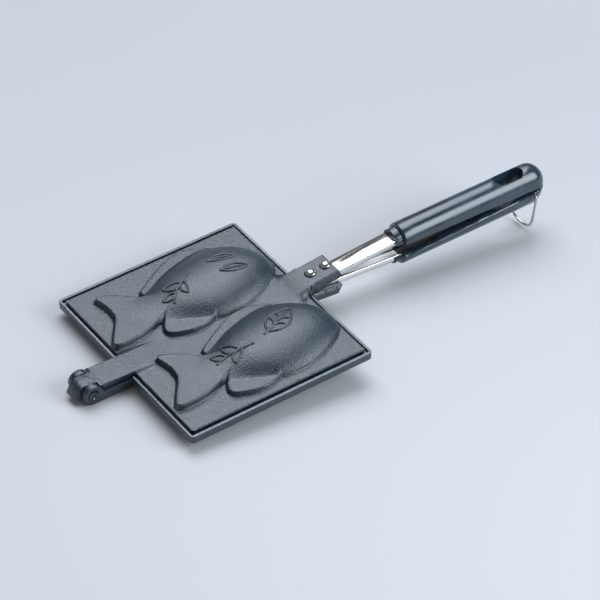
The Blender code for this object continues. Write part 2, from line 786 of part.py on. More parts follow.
def rivet_shape(name, x):
    face = tongue_face(x)
    drop = (face.z - strap_top(x) + strap_gauge) * math.cos(tongue_lean) + seat_gap * 2
    sphere = (rivet_head_radius ** 2 + rivet_head_height ** 2) / (2 * rivet_head_height)
    half_turn = math.asin(rivet_head_radius / sphere)
    profile = []
    for step in range(dome_steps + 1):
        turn = half_turn * step / dome_steps
        profile.append((sphere * math.sin(turn),
                        seat_gap + rivet_head_height - sphere * (1 - math.cos(turn))))
    tail_height_share, tail_radius_share = rivet_tail_shares
    end = -drop - rivet_tail_height
    profile += [(rivet_radius, seat_gap), (rivet_radius, -drop), (rivet_tail_radius, -drop),
                (rivet_tail_radius, -drop - rivet_tail_height * tail_height_share),
                (rivet_tail_radius * tail_radius_share, end), (0, end)]
    body = turned(name, profile, rivet_segments)
    settle(body)
    body.data.transform(Matrix.Translation(face) @ Matrix.Rotation(-tongue_lean, 4, "Y"))
    return body


def inner_face(x):
    share = (x - grip_front) / (grip_rear - grip_front)
    return grip_front_gap + share * (grip_rear_gap - grip_front_gap)


def grip_section(x, half_width, half_height, setback=0):
    low = inner_face(x) + setback
    start = math.asin(min(((low + grip_edge) / half_height) ** (grip_squareness / 2), widest_start_share))
    ring = []
    for step in range(grip_arc_steps + 1):
        turn = start + (math.pi - 2 * start) * step / grip_arc_steps
        cos, sin = math.cos(turn), math.sin(turn)
        ring.append((x, half_width * math.copysign(abs(cos) ** (2 / grip_squareness), cos),
                     half_height * sin ** (2 / grip_squareness)))
    edge = min(grip_edge, abs(ring[0][1]) * grip_edge_share)
    return [(x, ring[0][1] - edge, low)] + ring + [(x, ring[-1][1] + edge, low)]


def grip_shape(name):
    stations = []
    for turn in reversed(nose_turns):
        angle = math.radians(turn)
        stations.append((grip_front + grip_nose_round * (1 - math.sin(angle)),
                         grip_nose_round * (1 - math.cos(angle))))
    rings = [grip_section(x, grip_half_width - inset, grip_half_height - inset) for x, inset in stations]
    straight_end = grip_rear - grip_tail_round
    rings += [grip_section(x, grip_half_width, grip_half_height)
              for x in np.linspace(stations[-1][0], straight_end, straight_stations)[1:]]
    for turn in tail_turns:
        angle = math.radians(turn)
        x = straight_end + grip_tail_round * math.sin(angle)
        rings.append(grip_section(x, grip_half_width * math.cos(angle), grip_half_height * math.cos(angle)))
    grip = loft(name, rings)
    neck = loft(name + "_neck", [grip_section(x, neck_half_width, neck_half_height, neck_setback)
                                 for x in (grip_front - neck_length, grip_front + neck_length)])
    combine(grip, neck, "UNION")
    settle(grip)
    combine(grip, strap_groove(name + "_groove", grip_front - neck_length - overrun, strap_end + groove_end_gap,
                               strap_half_width + hole_clearance), "DIFFERENCE")
    round_end = rounded_rectangle((slot_rear - slot_front) / 2, slot_half_width,
                                  slot_half_width * slot_round_share, slot_steps)
    slot = [((slot_front + slot_rear) / 2 + x, y) for x, y in round_end]
    combine(grip, stacked_slab(name + "_slot", slot, ((-overrun, 0), (grip_half_height + overrun, 0))),
            "DIFFERENCE")
    depth = strap_bend_top + seat_gap + screw_bite + screw_hole_spare
    combine(grip, cylinder(name + "_screw_bore", screw_radius + hole_clearance, (screw_x, 0, 0),
                           (screw_x, 0, depth), bore_segments), "DIFFERENCE")
    return grip


def screw_shape(name):
    under = strap_bend_top - strap_gauge - seat_gap
    low = under - screw_head_height
    radius_share, height_share = screw_head_shares
    profile = [(0, strap_bend_top + seat_gap + screw_bite), (screw_radius, strap_bend_top + screw_bite),
               (screw_radius, under), (screw_head_radius, under),
               (screw_head_radius, low + screw_head_height * height_share),
               (screw_head_radius * radius_share, low), (0, low)]
    body = turned(name, profile, screw_segments)
    settle(body)
    body.data.transform(Matrix.Translation((screw_x, 0, 0)))
    return body


# The wire's middle line, its corners rounded
def latch_path():
    inside = grip_half_width - latch_hold
    low = latch_z - latch_reach
    corners = [(inside, latch_z, 0), (latch_half_span, latch_z, latch_shoulder),
               (latch_loop_half_span, low, latch_loop_bend), (-latch_loop_half_span, low, latch_loop_bend),
               (-latch_half_span, latch_z, latch_shoulder), (-inside, latch_z, 0)]
    bends = [bend for y, z, bend in corners]
    corners = [Vector((0, y, z)) for y, z, bend in corners]
    points = [corners[0]]
    for before, corner, after, bend in zip(corners, corners[1:], corners[2:], bends[1:]):
        back, on = (before - corner).normalized(), (after - corner).normalized()
        reach = bend / math.tan(back.angle(on) / 2)
        for step in range(latch_bend_steps + 1):
            t = step / latch_bend_steps
            points.append(corner + back * reach * (1 - t) ** 2 + on * reach * t ** 2)
    points.append(corners[-1])
    return points


def build_latch(material):
    curve = bpy.data.curves.new("latch_path", "CURVE")
    curve.dimensions = "3D"
    curve.bevel_depth = latch_wire_radius
    curve.bevel_resolution = 2
    curve.use_fill_caps = True
    line = curve.splines.new("POLY")
    points = latch_path()
    line.points.add(len(points) - 1)
    for slot, point in zip(line.points, points):
        slot.co = (latch_x + point.x, point.y, point.z, 1)
    wire = bpy.data.objects.new("latch_path", curve)
    bpy.data.collections["pan_cutters"].objects.link(wire)
    bpy.context.view_layer.update()
    graph = bpy.context.evaluated_depsgraph_get()
    mesh = bpy.data.meshes.new_from_object(wire.evaluated_get(graph))
    bpy.data.objects.remove(wire)
    bm = bmesh.new()
    bm.from_mesh(mesh)
    solid = object_from("latch_wire", bm)
    return finish(solid, "latch_wire", material, (latch_x, 0, latch_z))


def corners_of(objects):
    return np.array([obj.matrix_world @ corner.co for obj in objects for corner in obj.data.vertices])


# How far the handle's end lifts when the pan stands on its lower fish and its hinge ears
def standing_lean(plate):
    corners = corners_of([plate])
    ears = corners[corners[:, 0] < pin_x + ear_radius]
    fish = corners[abs(corners[:, 0]) < plate_end]
    low, high = 0.0, steepest_lean
    for step in range(lean_steps):
        lean = (low + high) / 2
        heights = [np.min(part[:, 0] * math.sin(lean) + part[:, 2] * math.cos(lean)) for part in (ears, fish)]
        if heights[0] > heights[1]:
            low = lean
        else:
            high = lean
    return lean


def build_half(side, origin, materials):
    def set_down(shape, name, material):
        settle(shape)
        if side == "lower":
            shape = mirrored(shape, name + "_turned")
        finish(shape, side + name, materials[material], origin)

    set_down(strap_shape("strap_" + side), "_strap", "chrome")
    set_down(rivet_shape("rivet_near_" + side, rivet_near_x), "_inner_rivet", "steel")
    set_down(rivet_shape("rivet_far_" + side, rivet_far_x), "_outer_rivet", "steel")
    set_down(screw_shape("screw_" + side), "_grip_screw", "steel")
    grip = grip_shape("grip_" + side)
    if side == "lower":
        inside = grip_half_width - latch_hold - latch_hole_spare
        for sign in (-1, 1):
            combine(grip, cylinder("latch_bore", latch_wire_radius + hole_clearance,
                                   (latch_x, sign * inside, -latch_z),
                                   (latch_x, sign * (grip_half_width + overrun), -latch_z), screw_segments),
                    "DIFFERENCE")
    set_down(grip, "_grip", "phenolic")


def main():
    tidy_scene()
    materials = {
        "coating": make_material("coating", (0.055, 0.062, 0.070), 0.42, 0.35),
        "chrome": make_material("chrome", (0.78, 0.78, 0.76), 0.12, 1.0),
        "steel": make_material("steel", (0.72, 0.72, 0.72), 0.2, 1.0),
        "phenolic": make_material("phenolic", (0.012, 0.014, 0.018), 0.16, 0.0),
    }
    hinge = (pin_x, 0, pin_z)
    lower_plate = build_lower_plate(materials["coating"])
    build_upper_plate(materials["coating"])
    build_hinge_pin(materials["steel"])
    build_half("upper", hinge, materials)
    build_half("lower", (0, 0, 0), materials)
    latch = build_latch(materials["steel"])

    # The latch hangs straight down from its holes, whatever the pan's lean
    bpy.context.view_layer.update()
    lean = standing_lean(lower_plate)
    pieces = list(bpy.data.collections["pan"].objects)
    stand = bpy.data.objects.new("stand", None)
    bpy.data.collections["pan"].objects.link(stand)
    for piece in pieces:
        piece.parent = stand
    stand.rotation_euler.y = -lean
    latch.rotation_euler.y = lean
    bpy.context.view_layer.update()
    corners = corners_of(pieces)
    low, high = corners.min(axis=0), corners.max(axis=0)
    stand.location = (-(low[0] + high[0]) / 2, 0, -low[2])
    bpy.context.view_layer.update()
    print("lean in degrees", round(math.degrees(lean), 3))
    print("hinge axis", [round(v, 6) for v in stand.matrix_world @ Vector(hinge)])
    print("latch axis", [round(v, 6) for v in latch.matrix_world.translation])
    print("plate middle at the parting plane", [round(v, 6) for v in stand.location])
    fish = corners_of([lower_plate])
    print("lowest point of the fish", [round(float(v), 6) for v in min(fish[fish[:, 0] > stand.location.x],
                                                                       key=lambda point: point[2])])
    print("lowest point of the latch", round(float(corners_of([latch])[:, 2].min()), 6))


main()
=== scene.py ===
import bpy
import json
import math
import numpy as np
from mathutils import Matrix, Vector


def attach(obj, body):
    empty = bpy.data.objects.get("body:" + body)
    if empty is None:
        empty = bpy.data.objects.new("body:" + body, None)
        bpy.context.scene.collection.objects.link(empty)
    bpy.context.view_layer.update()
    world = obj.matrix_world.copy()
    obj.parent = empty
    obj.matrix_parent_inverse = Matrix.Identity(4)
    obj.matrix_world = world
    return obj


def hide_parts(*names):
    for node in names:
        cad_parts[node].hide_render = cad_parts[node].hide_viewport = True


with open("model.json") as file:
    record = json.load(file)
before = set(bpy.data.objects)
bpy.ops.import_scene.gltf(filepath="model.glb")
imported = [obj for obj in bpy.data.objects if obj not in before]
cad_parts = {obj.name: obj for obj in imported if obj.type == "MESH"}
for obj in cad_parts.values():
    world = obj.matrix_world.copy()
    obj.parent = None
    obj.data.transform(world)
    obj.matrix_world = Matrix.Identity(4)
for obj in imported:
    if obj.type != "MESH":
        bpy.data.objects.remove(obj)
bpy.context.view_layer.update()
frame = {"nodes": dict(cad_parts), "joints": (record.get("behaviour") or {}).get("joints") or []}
print("frame loaded")

# The pan is drawn level, with X from hinge to handle and heights from the plane where the halves meet,
# and each piece is then leaned back with the pan and put in its place
pan = {
    "hingePoint": (-0.0952, -0.0005),   # X and Z of the hinge pin, level
    "latchPoint": (0.250, -0.0030),
    "plateEnd": 0.068,
    "plateSide": 0.0775,
    "rimTop": 0.0015,
}
joints = {joint["name"]: joint for joint in frame["joints"]}
hinge = Vector(joints["plate_hinge"]["pos_m"])
latchPivot = Vector(joints["latch_swing"]["pos_m"])
levelSpan = (pan["latchPoint"][0] - pan["hingePoint"][0], pan["latchPoint"][1] - pan["hingePoint"][1])
lean = math.atan2(latchPivot.z - hinge.z, latchPivot.x - hinge.x) - math.atan2(levelSpan[1], levelSpan[0])
leanTurn = Matrix.Rotation(-lean, 4, "Y")
hingeLevel = Vector((pan["hingePoint"][0], 0, pan["hingePoint"][1]))
panPlace = Matrix.Translation(hinge - leanTurn @ hingeLevel) @ leanTurn


# Editing helpers

def onlySelect(obj):
    if bpy.context.object and bpy.context.object.mode != "OBJECT":
        bpy.ops.object.mode_set(mode="OBJECT")
    bpy.ops.object.select_all(action="DESELECT")
    obj.select_set(True)
    bpy.context.view_layer.objects.active = obj


def editAll(obj):
    onlySelect(obj)
    bpy.context.tool_settings.mesh_select_mode = (False, False, True)
    bpy.ops.object.mode_set(mode="EDIT")
    bpy.ops.mesh.select_all(action="SELECT")


def pointsOf(obj):
    flat = np.empty(len(obj.data.vertices) * 3)
    obj.data.vertices.foreach_get("co", flat)
    return flat.reshape(-1, 3)


def putPoints(obj, points):
    obj.data.vertices.foreach_set("co", np.asarray(points, float).ravel())
    obj.data.update()


def mergeAndFace(obj, distance=0.000004):
    editAll(obj)
    bpy.ops.mesh.remove_doubles(threshold=distance)
    bpy.ops.mesh.normals_make_consistent(inside=False)
    bpy.ops.object.mode_set(mode="OBJECT")


def applyModifier(obj, kind, **settings):
    onlySelect(obj)
    modifier = obj.modifiers.new(kind.lower(), kind)
    for name, value in settings.items():
        setattr(modifier, name, value)
    bpy.ops.object.modifier_apply(modifier=modifier.name)


def cutAway(obj, cutter):
    applyModifier(obj, "BOOLEAN", operation="DIFFERENCE", solver="EXACT", object=cutter)
    bpy.data.objects.remove(cutter)


def bevelEdges(obj, width, segments=2, degrees=40):
    applyModifier(obj, "BEVEL", width=width, segments=segments, limit_method="ANGLE",
                  angle_limit=math.radians(degrees), use_clamp_overlap=True)


def cutBox(low, high):
    middle = [(a + b) / 2 for a, b in zip(low, high)]
    bpy.ops.object.select_all(action="DESELECT")
    bpy.ops.mesh.primitive_cube_add(size=1, location=middle, scale=[b - a for a, b in zip(low, high)])
    bpy.ops.object.transform_apply(location=True, rotation=True, scale=True)
    return bpy.context.object


def copyOfNode(name, node):
    piece = frame["nodes"][node].copy()
    piece.data = piece.data.copy()
    piece.name = name
    for key in list(piece.keys()):
        del piece[key]
    piece.parent = None
    piece.matrix_world = Matrix.Identity(4)
    bpy.context.scene.collection.objects.link(piece)
    mergeAndFace(piece)
    return piece


def joinPieces(first, others):
    onlySelect(first)
    for other in others:
        other.select_set(True)
    bpy.context.view_layer.objects.active = first
    bpy.ops.object.join()
    return first


def smoothBy(obj, degrees):
    onlySelect(obj)
    bpy.ops.object.shade_smooth_by_angle(angle=math.radians(degrees))


def setDown(obj, name, body, material, nodes=(), smoothDegrees=35):
    obj.name = name
    obj.data.name = name
    smoothBy(obj, smoothDegrees)
    obj.data.materials.clear()
    obj.data.materials.append(material)
    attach(obj, body)
    if nodes:
        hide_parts(*nodes)
    return obj


# Shader maths

class Val:
    def __init__(self, tree, socket):
        self.tree, self.socket = tree, socket

    def node(self, kind, settings=None, inputs=None, output=0):
        made = self.tree.nodes.new(kind)
        for name, value in (settings or {}).items():
            setattr(made, name, value)
        for name, value in (inputs or {}).items():
            if isinstance(value, Val):
                self.tree.links.new(value.socket, made.inputs[name])
            else:
                made.inputs[name].default_value = value
        return Val(self.tree, made.outputs[output])

    def maths(self, operation, other=None):
        values = {0: self} if other is None else {0: self, 1: other}
        return self.node("ShaderNodeMath", {"operation": operation}, values)

    def __add__(self, other):
        return self.maths("ADD", other)

    __radd__ = __add__

    def __mul__(self, other):
        return self.maths("MULTIPLY", other)

    __rmul__ = __mul__

    def __sub__(self, other):
        return self.maths("SUBTRACT", other)

    def __rsub__(self, other):
        return self.node("ShaderNodeMath", {"operation": "SUBTRACT"}, {0: other, 1: self})

    def blend(self, dark, light):
        return self.node("ShaderNodeMix", {"data_type": "RGBA"}, {0: self, 6: dark, 7: light}, 2)

    def step(self, low, high):
        return self.node("ShaderNodeMapRange", {"interpolation_type": "SMOOTHSTEP"},
                         {"Value": self, "From Min": low, "From Max": high})


def newMaterial(name, fixed):
    material = bpy.data.materials.new(name)
    material.use_nodes = True
    tree = material.node_tree
    shader = tree.nodes["Principled BSDF"]
    for socket, value in fixed.items():
        shader.inputs[socket].default_value = value
    start = Val(tree, None)
    place = start.node("ShaderNodeTexCoord", output=3)

    def feed(socket, value):
        tree.links.new(value.socket, shader.inputs[socket])

    return material, place, feed


def noise(place, scale, detail=3, roughness=0.55):
    return place.node("ShaderNodeTexNoise", {}, {"Vector": place, "Scale": scale, "Detail": detail,
                                                 "Roughness": roughness})


coatingLook = {
    "darkColour": (0.003, 0.011, 0.018, 1),
    "lightColour": (0.014, 0.040, 0.062, 1),
    # Light metallic grey for the painted highlight along the rim's top edge
    "rimHighlightColour": (0.52, 0.55, 0.60, 1),
    "roughness": (0.27, 0.34),
    "specular": 1.0,
    "grainScale": 1050,
    "grainDetail": 2,
    "grainSteps": (0.36, 0.68),
    "grainShare": 0.7,
    "mottleScale": 170,
    "mottleDetail": 4,
    "mottleSteps": (0.30, 0.72),
    "noiseRoughness": 0.6,
    "rimHighlightSteps": (0.25, 0.5),
    "rimHighlightLeast": 0.5,
    "roughSteps": (0.3, 0.7),
    "bumpStrength": 0.9,
    "bumpDepth": 0.00042,
}


def makeCoating():
    look = coatingLook
    material, place, feed = newMaterial("bakedCoating", {"Specular IOR Level": look["specular"]})
    grain = noise(place, look["grainScale"], look["grainDetail"], look["noiseRoughness"])
    mottle = noise(place, look["mottleScale"], look["mottleDetail"], look["noiseRoughness"])
    wearAndSheen = place.node("ShaderNodeAttribute", {"attribute_name": "wearAndSheen"}, {}, 2)
    shade = grain.step(*look["grainSteps"]) * look["grainShare"]
    shade = shade + mottle.step(*look["mottleSteps"]) * (1 - look["grainShare"])
    base = shade.blend(look["darkColour"], look["lightColour"])
    # Painted highlight: where the rim-top attribute marks it, the coating turns a light metallic grey,
    # patchy with the mottle
    paintedRimHighlight = wearAndSheen * (mottle.step(*look["rimHighlightSteps"]) * (1 - look["rimHighlightLeast"]) + look["rimHighlightLeast"])
    feed("Base Color", paintedRimHighlight.blend(base, look["rimHighlightColour"]))
    feed("Metallic", paintedRimHighlight)
    low, high = look["roughness"]
    feed("Roughness", mottle.step(*look["roughSteps"]) * (high - low) + low)
    feed("Normal", grain.node("ShaderNodeBump", {}, {"Height": grain, "Strength": look["bumpStrength"],
                                                     "Distance": look["bumpDepth"]}))
    return material


chromeLook = {
    "colour": (0.84, 0.82, 0.80, 1),
    # Near-black colour and extra roughness for the painted shade on the channel's inside faces
    "shadeColour": (0.045, 0.045, 0.05, 1),
    "roughness": (0.08, 0.18),
    "shadeRoughness": 0.4,
    "smudgeScale": 60,
    "smudgeSteps": (0.35, 0.7),
    "crown": 0.06,
}


# Bright plate, with a fine crown along the middle where it is asked for, and painted shade, near black and
# rougher, where marked
def makeChrome(name, crown):
    look = chromeLook
    material, place, feed = newMaterial(name, {"Metallic": 1.0})
    low, high = look["roughness"]
    paintedShade = place.node("ShaderNodeAttribute", {"attribute_name": "paintedShade"}, {}, 2)
    feed("Base Color", paintedShade.blend(look["colour"], look["shadeColour"]))
    smudge = noise(place, look["smudgeScale"]).step(*look["smudgeSteps"])
    feed("Roughness", smudge * (high - low) + low + paintedShade * look["shadeRoughness"])
    if crown:
        side = place.node("ShaderNodeSeparateXYZ", {}, {0: place}, 1)
        fall = side.maths("ABSOLUTE") * -look["crown"]
        feed("Normal", fall.node("ShaderNodeBump", {}, {"Height": fall, "Strength": 1.0, "Distance": 1.0}))
    return material


phenolicLook = {
    "darkColour": (0.009, 0.023, 0.038, 1),
    "lightColour": (0.020, 0.046, 0.074, 1),
    "roughness": (0.23, 0.31),
    "specular": 0.9,
    "coat": 0.15,
    "coatRoughness": 0.2,
    "cloudScale": 30,
    "cloudDetail": 4,
    "colourSteps": (0.35, 0.65),
    "roughSteps": (0.3, 0.7),
}


def makePhenolic():
    look = phenolicLook
    fixed = {"Specular IOR Level": look["specular"], "Coat Weight": look["coat"],
             "Coat Roughness": look["coatRoughness"]}
    material, place, feed = newMaterial("glossyPhenolic", fixed)
    cloud = noise(place, look["cloudScale"], look["cloudDetail"])
    feed("Base Color", cloud.step(*look["colourSteps"]).blend(look["darkColour"], look["lightColour"]))
    low, high = look["roughness"]
    feed("Roughness", cloud.step(*look["roughSteps"]) * (high - low) + low)
    return material


steelLook = {
    "wireColour": (0.62, 0.62, 0.61, 1),
    "pinColour": (0.10, 0.105, 0.115, 1),
    "wornShare": 0.7,
    "roughness": (0.16, 0.30),
    "streakScale": 220,
    "streakSteps": (0.3, 0.7),
}


def makeSteel(name, colour):
    look = steelLook
    low, high = look["roughness"]
    material, place, feed = newMaterial(name, {"Metallic": 1.0})
    streak = noise(place, look["streakScale"]).step(*look["streakSteps"])
    wearAndSheen = (*(part * look["wornShare"] for part in colour[:3]), 1)
    feed("Base Color", streak.blend(wearAndSheen, colour))
    feed("Roughness", streak * (high - low) + low)
    return material


coating = makeCoating()
strapChrome = makeChrome("strapPlate", True)
rivetChrome = makeChrome("rivetPlate", False)
phenolic = makePhenolic()
wireSteel = makeSteel("drawnWire", steelLook["wireColour"])
pinSteel = makeSteel("darkPin", steelLook["pinColour"])
print("materials made")


# The castings: one height field gives both halves their fish, fins and ramps
casting = {
    "gridStep": 0.0005,
    "keptFaces": 0.5,           # share of the faces left after thinning
    "upperTop": 0.00255,
    "upperLow": 0.00015,
    "upperHalf": (0.0649, 0.0733),
    "lowerHalf": (0.06615, 0.07565),
    "lowerDepth": 0.0038,
    "lowerFloor": -0.00015,
    "edgeRound": 0.0005,
    "cornerRadius": 0.002,
    "hingeTip": (-0.09007, -0.08763),   # top and underside of the hinge tongue's end
    "hingeHalf": 0.0092,
    "tongueEnd": 0.0932,
    "tongueSlant": 0.0031,
    "tongueHalf": 0.0095,
    "tongueFlare": (0.0107, 0.0715),    # half width at the plate's edge, and where it ends
    "grooveStart": 0.0689,
    "grooveHalf": 0.00635,
    "strapStart": 0.0692,
    "strapBase": 0.0035,        # the strap's top where it starts, its rise and the gap over it
    "strapRise": 0.0718,
    "strapGap": 0.0003,
    "hingeUnder": 0.00015,
    "freeEdge": 0.0012,         # how far past the tongue the outer edge starts to be round
    "tongueReach": 1.2,
    "lugPlane": -0.0880,        # the solids' own hinge ends are kept up to these
    "armsPlane": -0.0672,
    "endRound": 0.0004,
    "floorGap": 0.00002,
}
fishLook = {
    "length": 0.129,
    "width": 0.070,
    "noseX": 0.0643,
    "bodyTail": 0.238,          # share of the length where the hollow body ends
    "places": ((-0.0008, 0.0349), (0.0012, -0.0336)),
    "rise": 0.0128,
    "lowerExtra": 0.0010,
    "fullness": 1.25,
    "wall": 0.0029,
    "inset": 0.0014,
    "sideFall": 1.8,
    "tailBlend": 0.0036,
    "bellyBlend": 0.0030,
    "backBlend": 0.0018,
    "footBlend": 0.0004,
    "finRound": 0.0005,
    "finDraft": 0.0013,
    "finHeights": (0.0042, 0.0033, 0.0030),
    "leastHalf": 0.3,
    "hollowFinStep": 0.0012,
    "hollowFinFall": 3,
    "hollowFinRound": 0.0008,
    "hollowFinBlend": 0.0016,
    "hollowFootBlend": 0.0006,
}
# Place from the tail, far side, near side and height, as shares of length, width and rise
bodyRows = (
    (0.000, 0.060, -0.090, -0.700), (0.120, 0.090, -0.130, -0.230), (0.190, 0.115, -0.160, 0.060),
    (0.238, 0.140, -0.190, 0.215), (0.285, 0.165, -0.225, 0.345), (0.370, 0.205, -0.305, 0.560),
    (0.470, 0.290, -0.400, 0.800), (0.565, 0.350, -0.465, 0.920), (0.688, 0.395, -0.472, 1.000),
    (0.773, 0.385, -0.440, 0.985), (0.850, 0.330, -0.386, 0.890), (0.912, 0.252, -0.323, 0.715),
    (0.955, 0.172, -0.264, 0.500), (0.984, 0.078, -0.186, 0.270), (1.000, -0.030, -0.080, 0.030),
)
tailRuns = (
    ((0.420, 0.030), (0.295, 0.157), (0.226, 0.274), (0.158, 0.349), (0.130, 0.366), (0.117, 0.351)),
    ((0.117, 0.351), (0.133, 0.200), (0.130, 0.071), (0.110, -0.007), (0.060, -0.129), (0.017, -0.240)),
    ((0.017, -0.240), (0.029, -0.284), (0.091, -0.291), (0.168, -0.281), (0.246, -0.240), (0.292, -0.204),
     (0.420, -0.120)),
)
bellyRuns = (
    ((0.360, -0.150), (0.298, -0.279)),
    ((0.298, -0.279), (0.281, -0.355), (0.302, -0.417), (0.385, -0.474), (0.463, -0.486), (0.525, -0.451)),
    ((0.525, -0.451), (0.560, -0.380), (0.540, -0.200)),
)
backRuns = (
    ((0.340, 0.060), (0.331, 0.190)),
    ((0.331, 0.190), (0.343, 0.230), (0.440, 0.337), (0.540, 0.434), (0.610, 0.474), (0.675, 0.476),
     (0.742, 0.428), (0.796, 0.343), (0.700, 0.150)),
)
ramp = {
    "length": 0.024,
    "rootTop": 0.0078,
    "tipTop": 0.0101,
    "flare": 0.0145,
    "edge": 0.0007,
    "blend": 0.0028,
    # Shares of its length, rise, flare at the top and flare at the foot
    "rows": ((-0.600, -0.900, 0.500, 1.900), (-0.250, -0.340, 0.340, 1.350), (0.000, -0.090, 0.240, 1.000),
             (0.250, 0.120, 0.150, 0.790), (0.500, 0.400, 0.080, 0.520),
             (0.710, 0.690, 0.050, 0.280), (0.870, 0.880, 0.050, 0.160), (1.000, 1.000, 0.030, 0.080)),
    "rootGap": 0.00045,
    "tipGap": 0.0035,
    "leastHeight": 0.0012,
    "leastSpread": 0.0004,
    "sideRound": 0.0012,
}
hingeRamp = {
    "tops": ((-0.0901, 0.0051), (-0.068, 0.0044), (-0.0576, 0.00355), (-0.048, 0.0027), (-0.040, 0.0014),
             (-0.032, -0.0004), (-0.024, -0.0030)),
    "lowerTops": ((-0.068, 0.0065), (-0.060, 0.0050), (-0.054, 0.0034), (-0.048, 0.0006), (-0.044, -0.0020)),
    "lowerHalf": 0.0099,
    "sideFall": 1.1,
    "sideRound": 0.0012,
    "blend": 0.0022,
}


def smoothRows(rows, steps):
    rows = np.array(rows, float)
    ends = np.vstack([2 * rows[0] - rows[1], rows, 2 * rows[-1] - rows[-2]])
    points = []
    for i in range(len(rows) - 1):
        a, b, c, d = ends[i:i + 4]
        for step in range(steps):
            t = step / steps
            points.append(0.5 * (2 * b + (c - a) * t + (2 * a - 5 * b + 4 * c - d) * t ** 2
                                 + (3 * b - a - 3 * c + d) * t ** 3))
    points.append(rows[-1])
    return np.array(points)


def outlineOf(runs, steps=4):
    points = []
    for run in runs:
        points.extend((smoothRows(run, steps) if len(run) > 2 else np.array(run, float))[:-1])
    points.append(np.array(runs[-1][-1]))
    return np.array(points)


def softMax(a, b, blend):
    share = np.clip(0.5 + 0.5 * (a - b) / blend, 0, 1)
    return b * (1 - share) + a * share + blend * share * (1 - share)


def softMin(a, b, blend):
    return -softMax(-a, -b, blend)


def insideDistance(x, y, outline):
    nearest = np.full(x.shape, 1.0)
    inside = np.zeros(x.shape, bool)
    for (ax, ay), (bx, by) in zip(outline, np.roll(outline, -1, axis=0)):
        dx, dy = bx - ax, by - ay
        along = np.clip(((x - ax) * dx + (y - ay) * dy) / (dx * dx + dy * dy), 0, 1)
        nearest = np.minimum(nearest, np.hypot(x - ax - along * dx, y - ay - along * dy))
        if dy:
            inside ^= ((ay > y) != (by > y)) & (x < dx * (y - ay) / dy + ax)
    return np.where(inside, nearest, -nearest)


denseBody = smoothRows(bodyRows, 8)


def domeHeight(x, y, place, rise, inset):
    size = fishLook
    share = (x - place[0] - size["noseX"]) / size["length"] + 1
    tail = size["bodyTail"]
    share = tail + (share - tail) / (1 - inset / (size["length"] * (1 - tail)))
    far, near, height = (np.interp(share, denseBody[:, 0], denseBody[:, k]) for k in (1, 2, 3))
    centre = (far + near) / 2 * size["width"] + place[1]
    half = (far - near) / 2 * size["width"]
    half = np.maximum(half - inset, half * size["leastHalf"])
    side = np.abs(y - centre) / half
    across = np.clip(1 - side ** 2, 0, 1) ** (size["fullness"] / 2)
    lift = rise * (height - np.maximum(height, 0) * (1 - across))
    beyond = np.maximum(side - 1, 0) * half + np.maximum(share - 1, 0) * size["length"]
    return lift - beyond * size["sideFall"]


def finHeight(x, y, place, runs, height):
    size = fishLook
    outline = outlineOf(runs) * (size["length"], size["width"])
    outline = outline + (place[0] + size["noseX"] - size["length"], place[1])
    distance = insideDistance(x, y, outline)
    return distance, softMin(np.full(x.shape, height), height * (distance / size["finDraft"] + 1),
                             size["finRound"])


def outerHeight(x, y, base, extra):
    size = fishLook
    foot = casting["upperTop"]
    total = np.full(x.shape, base)
    for place in size["places"]:
        shape = foot + domeHeight(x, y, place, size["rise"] + extra, 0)
        for runs, height, blend in zip((tailRuns, bellyRuns, backRuns), size["finHeights"],
                                       (size["tailBlend"], size["bellyBlend"], size["backBlend"])):
            shape = softMax(shape, foot + finHeight(x, y, place, runs, height)[1], blend)
        total = softMax(total, shape, size["footBlend"])
    rows = smoothRows(ramp["rows"], 8)
    along = (x - pan["plateEnd"] + ramp["length"]) / ramp["length"]
    rise, flareTop, flareFoot = (np.interp(along, rows[:, 0], rows[:, k]) for k in (1, 2, 3))
    top = foot + rise * (ramp["rootTop"] - foot)
    past = np.clip((x - pan["plateEnd"]) / (casting["tongueEnd"] - pan["plateEnd"]), 0, 1)
    top = top + past * (ramp["tipTop"] - ramp["rootTop"])
    halfTop = casting["tongueHalf"] + flareTop * ramp["flare"]
    halfFoot = casting["tongueHalf"] + flareFoot * ramp["flare"]
    steep = np.maximum(top - foot, ramp["leastHeight"]) / np.maximum(halfFoot - halfTop, ramp["leastSpread"])
    side = top - (np.abs(y) - halfTop) * steep
    shape = softMin(top, side, ramp["sideRound"]) - np.maximum(rows[0, 0] - along, 0) * ramp["length"]
    onPlate = x < pan["plateEnd"]
    return np.where(onPlate, softMax(total, shape, ramp["blend"]), top)


def hingeHeight(x, y, tops, half):
    rows = smoothRows(sorted(tops), 6)
    top = np.interp(x, rows[:, 0], rows[:, 1]) - np.maximum(x - rows[-1, 0], 0)
    side = top - (np.abs(y) - half) * hingeRamp["sideFall"]
    return softMin(top, side, hingeRamp["sideRound"])


def hollowHeight(x, y, low):
    size = fishLook
    foot = casting["upperTop"]
    total = np.full(x.shape, low)
    for place in size["places"]:
        shape = domeHeight(x, y, place, foot + size["rise"] - size["wall"], size["inset"])
        for runs, height in zip((tailRuns, bellyRuns, backRuns), size["finHeights"]):
            floor = foot + height - size["wall"]
            distance = finHeight(x, y, place, runs, height)[0] - size["inset"]
            wall = floor + (distance - size["hollowFinStep"]) * size["hollowFinFall"]
            fin = softMin(np.full(x.shape, floor), wall, size["hollowFinRound"])
            shape = softMax(shape, fin, size["hollowFinBlend"])
        total = softMax(total, shape, size["hollowFootBlend"])
    return total


